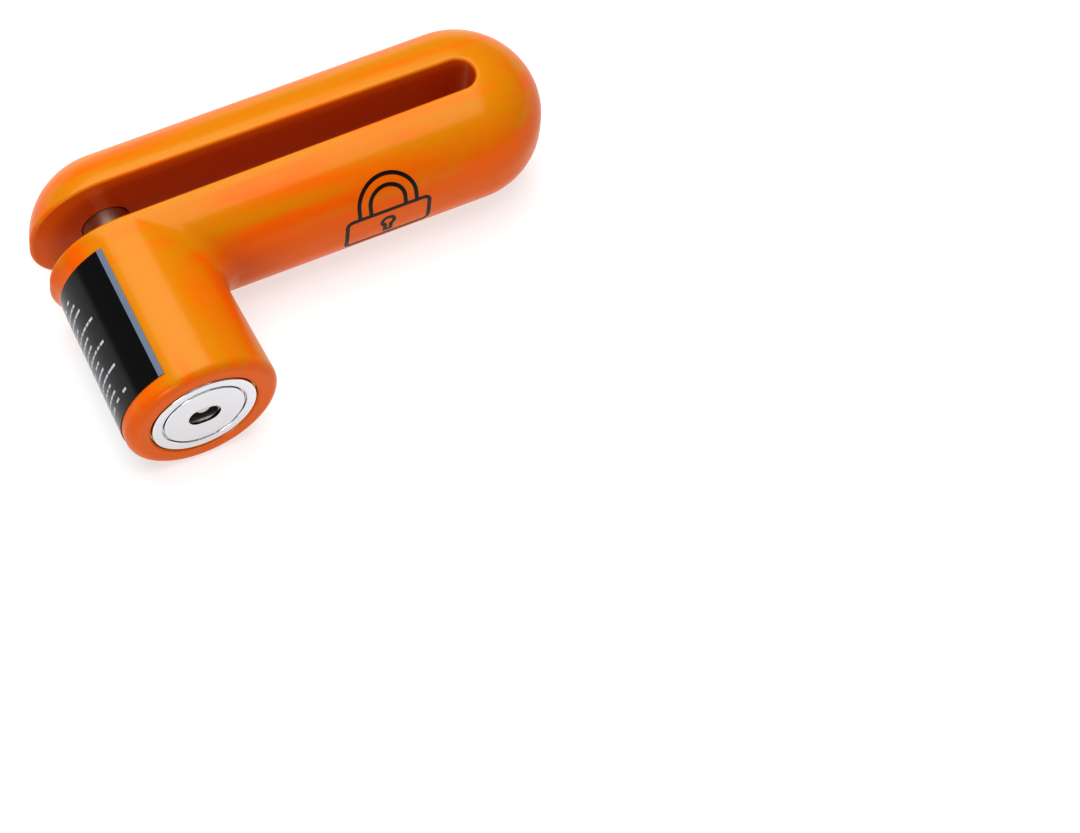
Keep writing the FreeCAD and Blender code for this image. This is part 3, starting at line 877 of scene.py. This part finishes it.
class DISCLOCK_OT_add_label(bpy.types.Operator):
    """Wrap the printed label on the stem."""

    bl_idname = "disclock.add_label"
    bl_label = "Add Label"

    def execute(self, context):
        settings = context.scene.disc_lock.label
        cone = StemCone()
        # Printed black and laminated: almost black, with a clear reflection
        film = label_film("black_polyester_film", settings.film, 0.16)
        # Left unprinted along one edge: a bluish grey with a softer shine
        strip = label_film("silver_polyester_film", settings.strip, 0.3)
        label = wrapped_sheet("label_film", cone, settings.stand, settings.strip_width, [strip, film])
        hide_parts("stem_label")
        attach(label, "lock_body")
        # Pale ink, screen printed: dull, and a little proud of the film
        ink = label_film("pale_screen_ink", settings.print_ink, 0.45)
        middle = cone.radius(0.0)
        slope = (cone.back_radius - cone.front_radius) / (cone.back - cone.front)
        row_pitch = (cone.back - cone.front - 2 * PRINT_MARGIN) / (settings.rows - 1)
        first_arc = (cone.first + PRINT_START) * middle
        longest_row = settings.words + ROW_INDENT[1]
        bar_pitch = (cone.last * middle - first_arc - PRINT_END_MARGIN) / longest_row
        bars = run_geometry(
            "label_print",
            print_tree(),
            {
                "Rows": settings.rows,
                "Bars": settings.words,
                "Row Pitch": row_pitch,
                "Bar Pitch": bar_pitch,
                "Bar Height": settings.bar_height,
                "Ink": INK_HEIGHT,
                "First Y": cone.front + PRINT_MARGIN,
                "First Arc": first_arc + bar_pitch / 2,
                "Radius": middle + settings.stand,
                "Slope": slope,
                "Material": ink,
            },
        )
        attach(bars, "lock_body")
        return {"FINISHED"}


class DISCLOCK_OT_add_mark(bpy.types.Operator):
    """Print the padlock sign on the bar."""

    bl_idname = "disclock.add_mark"
    bl_label = "Add Padlock Sign"

    def execute(self, context):
        settings = context.scene.disc_lock.mark
        side = -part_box("lock_casting")[1].y
        points, faces = [], []
        for line, closed in padlock_lines(settings.size):
            sides = ribbon(finer(line, closed, LONGEST_LINE_STEP), settings.line, closed)
            faces += printed_line(sides, closed, len(points))
            for left, right in sides:
                for spot, height in (
                    (left, -INK_SUNK),
                    (left, INK_HEIGHT),
                    (right, INK_HEIGHT),
                    (right, -INK_SUNK),
                ):
                    up = spot.y + settings.turn * BAR_EDGE
                    points.append(on_flank(side, settings.centre + spot.x, up, height))
        # Black ink, pad printed on the cured coat: fine dull lines
        ink = label_film("black_pad_print_ink", settings.ink, 0.4)
        sign = build_mesh("padlock_sign", points, faces, [ink])
        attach(sign, "lock_body")
        return {"FINISHED"}


class DISCLOCK_OT_add_spring(bpy.types.Operator):
    """Wind the return spring."""

    bl_idname = "disclock.add_spring"
    bl_label = "Add Spring"

    def execute(self, context):
        settings = context.scene.disc_lock.spring
        low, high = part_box("return_spring")
        wire = settings.wire_radius
        # Cold-drawn spring wire, oiled: dark bluish grey with a soft shine
        steel = turned_metal("drawn_spring_wire", linear("#8E9095"), 0.3, 0.3, 0.0004)
        coil = run_geometry(
            "return_coil",
            spring_tree(),
            {
                "Turns": settings.turns,
                "Coil Radius": (high.x - low.x) / 2 - wire,
                "Wire Radius": wire,
                "Height": high.y - low.y - 2 * wire,
                "Start": low.y + wire,
                "Material": steel,
            },
        )
        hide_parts("return_spring")
        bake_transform(coil)
        return {"FINISHED"}


class DISCLOCK_OT_set_stage(bpy.types.Operator):
    """Set up the floor, the lights and the camera."""

    bl_idname = "disclock.set_stage"
    bl_label = "Set Stage"

    def execute(self, context):
        settings = context.scene.disc_lock.stage
        scene = context.scene
        floor_z = frame_box[0].z
        half = FLOOR_HALF_WIDTH
        outline = ((-half, -half), (half, -half), (half, half), (-half, half))
        corners = [(x, y, floor_z) for x, y in outline]
        # Translucent matt sheet, lit from below: an even white with only faint shadows
        paper, _, shader, _ = start_material("matt_white_paper", settings.floor, 0.9)
        shader.inputs["Emission Color"].default_value = WHITE
        shader.inputs["Emission Strength"].default_value = settings.glow
        floor = build_mesh("floor", corners, [(0, 1, 2, 3)], [paper])
        world = bpy.data.worlds.new("even_room_light")
        world.use_nodes = True
        background = world.node_tree.nodes["Background"]
        background.inputs["Color"].default_value = WHITE
        background.inputs["Strength"].default_value = settings.ambient
        scene.world = world
        straight_up = (0.0, 0.0, 1.0)
        add_softbox("overhead_softbox", OVERHEAD_PLACE, OVERHEAD_SIZE, settings.key, straight_up)
        add_softbox("front_softbox", FRONT_PLACE, FRONT_SIZE, settings.fill, FRONT_PLACE)
        cosine, sine = math.cos(settings.azimuth), math.sin(settings.azimuth)
        level, rise = math.cos(settings.elevation), math.sin(settings.elevation)
        right = Vector((cosine, sine, 0.0))
        back = Vector((sine * level, -cosine * level, rise))
        up = back.cross(right)
        across = math.cos(settings.roll) * right + math.sin(settings.roll) * up
        upward = math.cos(settings.roll) * up - math.sin(settings.roll) * right
        aim = across * settings.aim_right + upward * settings.aim_up
        lens = bpy.data.cameras.new("camera")
        lens.sensor_width = SENSOR_WIDTH
        lens.lens = lens.sensor_width * settings.distance / settings.view_width
        camera = bpy.data.objects.new("camera", lens)
        stand = Matrix((across, upward, back)).transposed().to_4x4()
        stand.translation = aim + back * settings.distance
        camera.matrix_world = stand
        scene.collection.objects.link(camera)
        scene.camera = camera
        scene.view_settings.view_transform = "Standard"
        scene.view_settings.look = "High Contrast"
        return {"FINISHED"}


class DISCLOCK_PT_panel(bpy.types.Panel):
    """Buttons and settings of the lock."""

    bl_idname = "DISCLOCK_PT_panel"
    bl_label = "Disc Lock"
    bl_space_type = "VIEW_3D"
    bl_region_type = "UI"
    bl_category = "Disc Lock"

    def draw(self, context):
        settings = context.scene.disc_lock
        for operator in OPERATORS:
            self.layout.operator(operator.bl_idname)
        for group in (settings.paint, settings.label, settings.mark, settings.spring, settings.stage):
            box = self.layout.box()
            for name in group.__annotations__:
                box.prop(group, name)


GROUPS = (PaintSettings, LabelSettings, MarkSettings, SpringSettings, StageSettings, LockSettings)
OPERATORS = (
    DISCLOCK_OT_paint_casting,
    DISCLOCK_OT_finish_metals,
    DISCLOCK_OT_add_label,
    DISCLOCK_OT_add_mark,
    DISCLOCK_OT_add_spring,
    DISCLOCK_OT_set_stage,
)


def register():
    """Registers the settings, the operators and the panel."""
    for made in GROUPS + OPERATORS + (DISCLOCK_PT_panel,):
        bpy.utils.register_class(made)
    bpy.types.Scene.disc_lock = PointerProperty(type=LockSettings)


def unregister():
    """Takes them all out again."""
    del bpy.types.Scene.disc_lock
    for made in reversed(GROUPS + OPERATORS + (DISCLOCK_PT_panel,)):
        bpy.utils.unregister_class(made)


def main():
    """Builds every piece in order."""
    register()
    bpy.ops.disclock.paint_casting()
    bpy.ops.disclock.finish_metals()
    bpy.ops.disclock.add_label()
    bpy.ops.disclock.add_mark()
    bpy.ops.disclock.add_spring()
    bpy.ops.disclock.set_stage()


if __name__ == "__main__":
    main()
